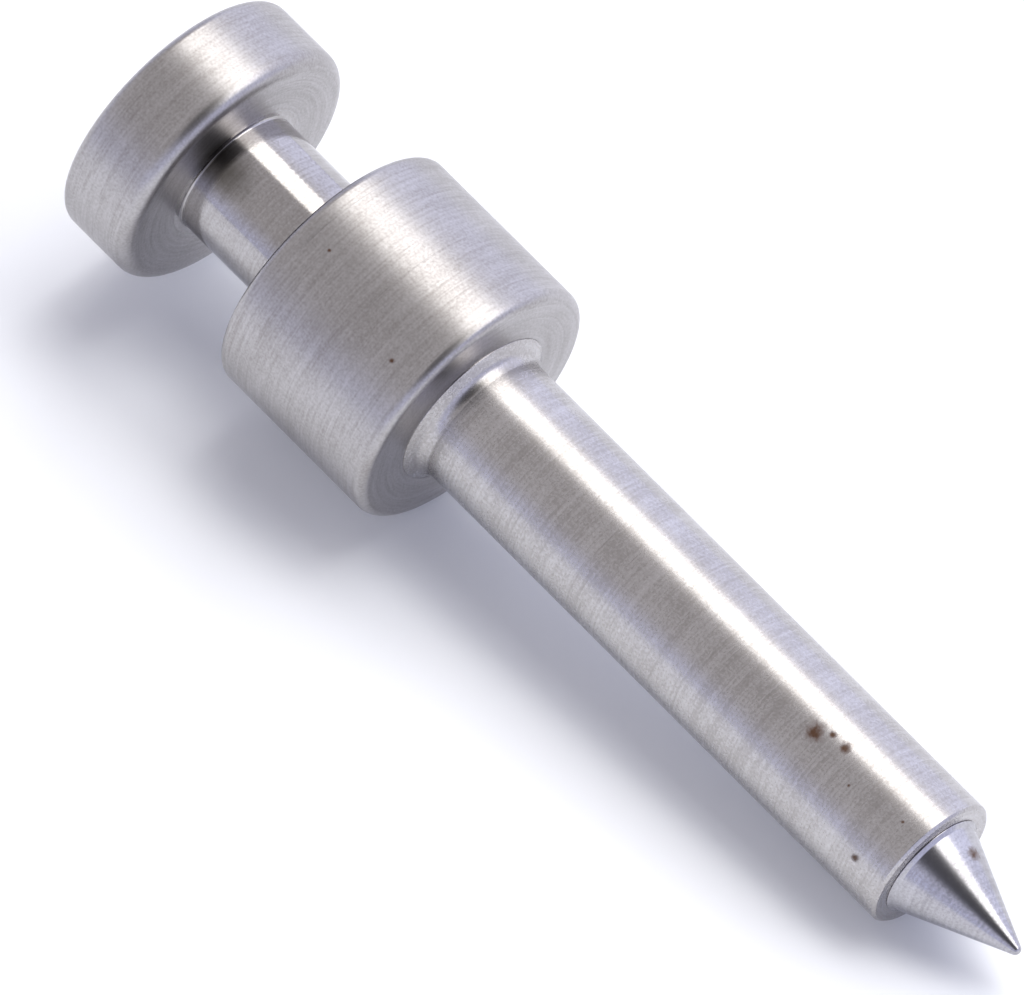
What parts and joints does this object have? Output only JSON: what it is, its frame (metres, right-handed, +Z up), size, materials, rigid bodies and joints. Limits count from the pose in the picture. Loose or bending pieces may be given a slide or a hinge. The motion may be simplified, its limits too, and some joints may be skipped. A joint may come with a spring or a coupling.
{
  "type": "live center",
  "caption": "Small turned live center: disc head and neck to hold it by, round bearing housing, long spinning barrel and a pressed-in conical point.",
  "frame": {"origin": "centre of the tail's rear face, on the spin axis", "axes": "+X along the spin axis from the tail to the point, +Z up"},
  "size_m": [0.0533, 0.0126, 0.0126],
  "materials": {
    "turned_steel": "fine turned, marks run round the axis",
    "point_steel": "hardened and ground",
    "bearing_steel": "ground",
    "ball_steel": "polished",
    "spring_steel": "dark, phosphated",
    "cage_brass": "machined",
    "bush_bronze": "sintered, oiled",
    "grey_felt": "pressed felt"
  },
  "bodies": {
    "housing_body": {"tail_stud": "turned_steel", "rear_bush": "bush_bronze", "housing": "turned_steel", "wave_spring": "spring_steel", "spacer_sleeve": "turned_steel", "thrust_housing_washer": "bearing_steel", "front_outer_ring": "bearing_steel", "felt_seal": "grey_felt"},
    "spindle_body": {"spindle": "turned_steel", "slinger_ring": "turned_steel", "point": "point_steel", "retaining_ring": "spring_steel", "front_inner_ring": "bearing_steel", "thrust_shaft_washer": "bearing_steel"},
    "front_cage_body": {"front_cage": "cage_brass", "front_ball_1": "ball_steel", "front_ball_2": "ball_steel", "front_ball_3": "ball_steel", "front_ball_4": "ball_steel", "front_ball_5": "ball_steel", "front_ball_6": "ball_steel", "front_ball_7": "ball_steel", "front_ball_8": "ball_steel"},
    "thrust_cage_body": {"thrust_cage": "cage_brass", "thrust_ball_1": "ball_steel", "thrust_ball_2": "ball_steel", "thrust_ball_3": "ball_steel", "thrust_ball_4": "ball_steel", "thrust_ball_5": "ball_steel", "thrust_ball_6": "ball_steel", "thrust_ball_7": "ball_steel"}
  },
  "joints": [
    {"name": "spindle_spin", "type": "hinge", "parent": "housing_body", "child": "spindle_body", "pos_m": [0.01658, 0, 0], "axis": [1, 0, 0], "continuous": true},
    {"name": "front_cage_spin", "type": "hinge", "parent": "housing_body", "child": "front_cage_body", "pos_m": [0.01658, 0, 0], "axis": [1, 0, 0], "continuous": true},
    {"name": "thrust_cage_spin", "type": "hinge", "parent": "housing_body", "child": "thrust_cage_body", "pos_m": [0.01322, 0, 0], "axis": [1, 0, 0], "continuous": true}
  ],
  "couplings": [
    {"joint": "front_cage_spin", "follows": "spindle_spin", "ratio": 0.38461},
    {"joint": "thrust_cage_spin", "follows": "spindle_spin", "ratio": 0.5}
  ]
}
